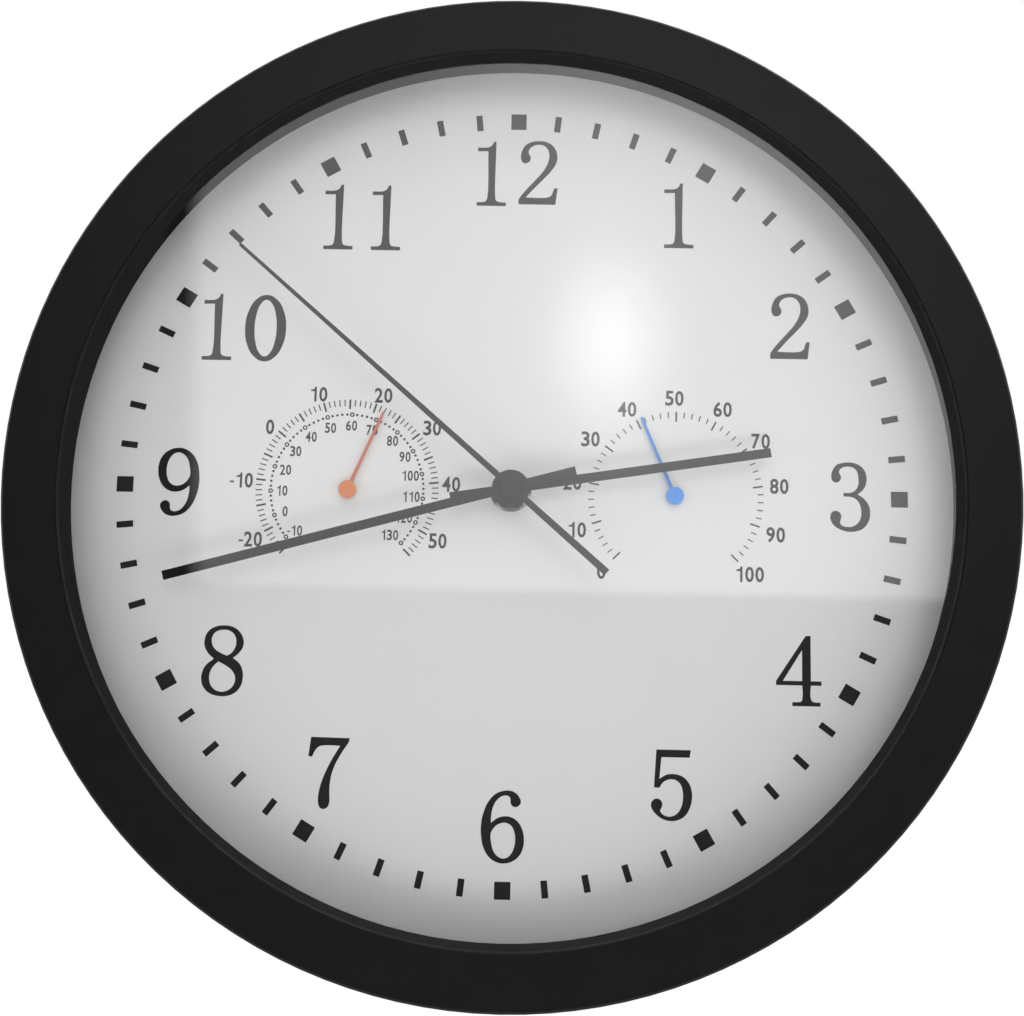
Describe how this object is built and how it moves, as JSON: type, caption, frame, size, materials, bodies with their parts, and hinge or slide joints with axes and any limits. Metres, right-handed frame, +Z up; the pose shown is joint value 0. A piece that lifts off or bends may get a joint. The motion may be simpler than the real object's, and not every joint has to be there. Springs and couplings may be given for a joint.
{
  "type": "thermometer hygrometer clock",
  "caption": "Round black wall clock with a white dial, stick hands, and a thermometer and a hygrometer set into the dial.",
  "frame": {"origin": "on the hands' axis, on the plane of the wall", "axes": "+Z up, +Y into the wall, so the dial faces -Y"},
  "size_m": [0.3, 0.0435, 0.3],
  "materials": {
    "black_plastic": "satin black",
    "clear_glass": "polished",
    "white_card": "printed matt",
    "plated_steel": "zinc plated",
    "rivet_aluminium": "plain",
    "nickel_plate": "nickel plated",
    "soft_rubber": "matt",
    "white_acetal": "natural",
    "arbor_brass": "turned",
    "motor_iron": "annealed",
    "magnet": "sintered",
    "copper_wire": "enamelled",
    "board_laminate": "phenolic",
    "coil_metal": "rolled",
    "cell_jacket": "printed sleeve",
    "black_hand": "satin",
    "orange_plastic": "satin",
    "blue_plastic": "satin"
  },
  "bodies": {
    "clock": {"frame": "black_plastic", "glass": "clear_glass", "retainer_ring": "black_plastic", "dial_card": "white_card", "dial_plate": "black_plastic", "plate_screws": "plated_steel", "hanger_bracket": "plated_steel", "hanger_rivets": "rivet_aluminium", "movement_front_case": "black_plastic", "movement_back_case": "black_plastic", "train_plate": "white_acetal", "cushion_washer": "soft_rubber", "fixing_washer": "nickel_plate", "fixing_nut": "nickel_plate", "stator": "motor_iron", "coil_core": "motor_iron", "coil_bobbin": "white_acetal", "coil_winding": "copper_wire", "circuit_board": "board_laminate", "quartz_crystal": "nickel_plate", "negative_contact": "plated_steel", "positive_contact": "plated_steel", "thermometer_housing": "black_plastic", "thermometer_coil": "coil_metal", "thermometer_cover": "black_plastic", "hygrometer_housing": "black_plastic", "hygrometer_coil": "coil_metal", "hygrometer_cover": "black_plastic"},
    "second_arbor": {"second_wheel": "white_acetal", "second_hand": "black_hand", "second_boss": "black_hand"},
    "minute_arbor": {"minute_arbor": "arbor_brass", "centre_wheel": "arbor_brass", "minute_hand": "black_hand"},
    "hour_wheel": {"hour_wheel": "white_acetal", "hour_hand": "black_hand"},
    "third_wheel": {"third_wheel": "white_acetal"},
    "intermediate_wheel": {"intermediate_wheel": "white_acetal"},
    "rotor": {"rotor_magnet": "magnet", "rotor_pinion": "white_acetal"},
    "motion_wheel": {"motion_wheel": "white_acetal"},
    "setting_knob": {"setting_knob": "black_plastic"},
    "thermometer_pointer": {"thermometer_pointer": "orange_plastic", "thermometer_arbor": "plated_steel"},
    "hygrometer_pointer": {"hygrometer_pointer": "blue_plastic", "hygrometer_arbor": "plated_steel"},
    "cell": {"cell": "cell_jacket"}
  },
  "joints": [
    {"name": "second_hand_turn", "type": "hinge", "parent": "clock", "child": "second_arbor", "pos_m": [0, 0, 0], "axis": [0, 1, 0], "continuous": true},
    {"name": "minute_hand_turn", "type": "hinge", "parent": "clock", "child": "minute_arbor", "pos_m": [0, 0, 0], "axis": [0, 1, 0], "continuous": true},
    {"name": "hour_hand_turn", "type": "hinge", "parent": "clock", "child": "hour_wheel", "pos_m": [0, 0, 0], "axis": [0, 1, 0], "continuous": true},
    {"name": "third_wheel_turn", "type": "hinge", "parent": "clock", "child": "third_wheel", "pos_m": [-0.00942, 0, 0.00544], "axis": [0, 1, 0], "continuous": true},
    {"name": "intermediate_wheel_turn", "type": "hinge", "parent": "clock", "child": "intermediate_wheel", "pos_m": [0.00952, 0, 0.00444], "axis": [0, 1, 0], "continuous": true},
    {"name": "rotor_turn", "type": "hinge", "parent": "clock", "child": "rotor", "pos_m": [0.00777, 0, 0.01436], "axis": [0, 1, 0], "continuous": true},
    {"name": "motion_wheel_turn", "type": "hinge", "parent": "clock", "child": "motion_wheel", "pos_m": [0.00956, 0, -0.00084], "axis": [0, 1, 0], "continuous": true},
    {"name": "setting_knob_turn", "type": "hinge", "parent": "clock", "child": "setting_knob", "pos_m": [0.01902, 0, -0.0025], "axis": [0, 1, 0], "continuous": true},
    {"name": "thermometer_pointer_turn", "type": "hinge", "parent": "clock", "child": "thermometer_pointer", "pos_m": [-0.05075, 0, -0.0004], "axis": [0, 1, 0], "range_deg": [-158, 112], "stiffness_Nm_per_rad": 0.0013, "deforming": ["thermometer_coil"]},
    {"name": "hygrometer_pointer_turn", "type": "hinge", "parent": "clock", "child": "hygrometer_pointer", "pos_m": [0.05075, 0, -0.0004], "axis": [0, 1, 0], "range_deg": [-111.8, 158.2], "stiffness_Nm_per_rad": 0.0013, "deforming": ["hygrometer_coil"]},
    {"name": "cell_slide", "type": "slide", "parent": "clock", "child": "cell", "axis": [0, 1, 0], "range_m": [0, 0.02]}
  ],
  "couplings": [
    {"joint": "third_wheel_turn", "follows": "second_hand_turn", "ratio": -0.13333},
    {"joint": "minute_hand_turn", "follows": "second_hand_turn", "ratio": 0.016667},
    {"joint": "hour_hand_turn", "follows": "second_hand_turn", "ratio": 0.0013889},
    {"joint": "motion_wheel_turn", "follows": "second_hand_turn", "ratio": -0.0055556},
    {"joint": "setting_knob_turn", "follows": "second_hand_turn", "ratio": 0.016667},
    {"joint": "intermediate_wheel_turn", "follows": "second_hand_turn", "ratio": -6},
    {"joint": "rotor_turn", "follows": "second_hand_turn", "ratio": 30}
  ]
}
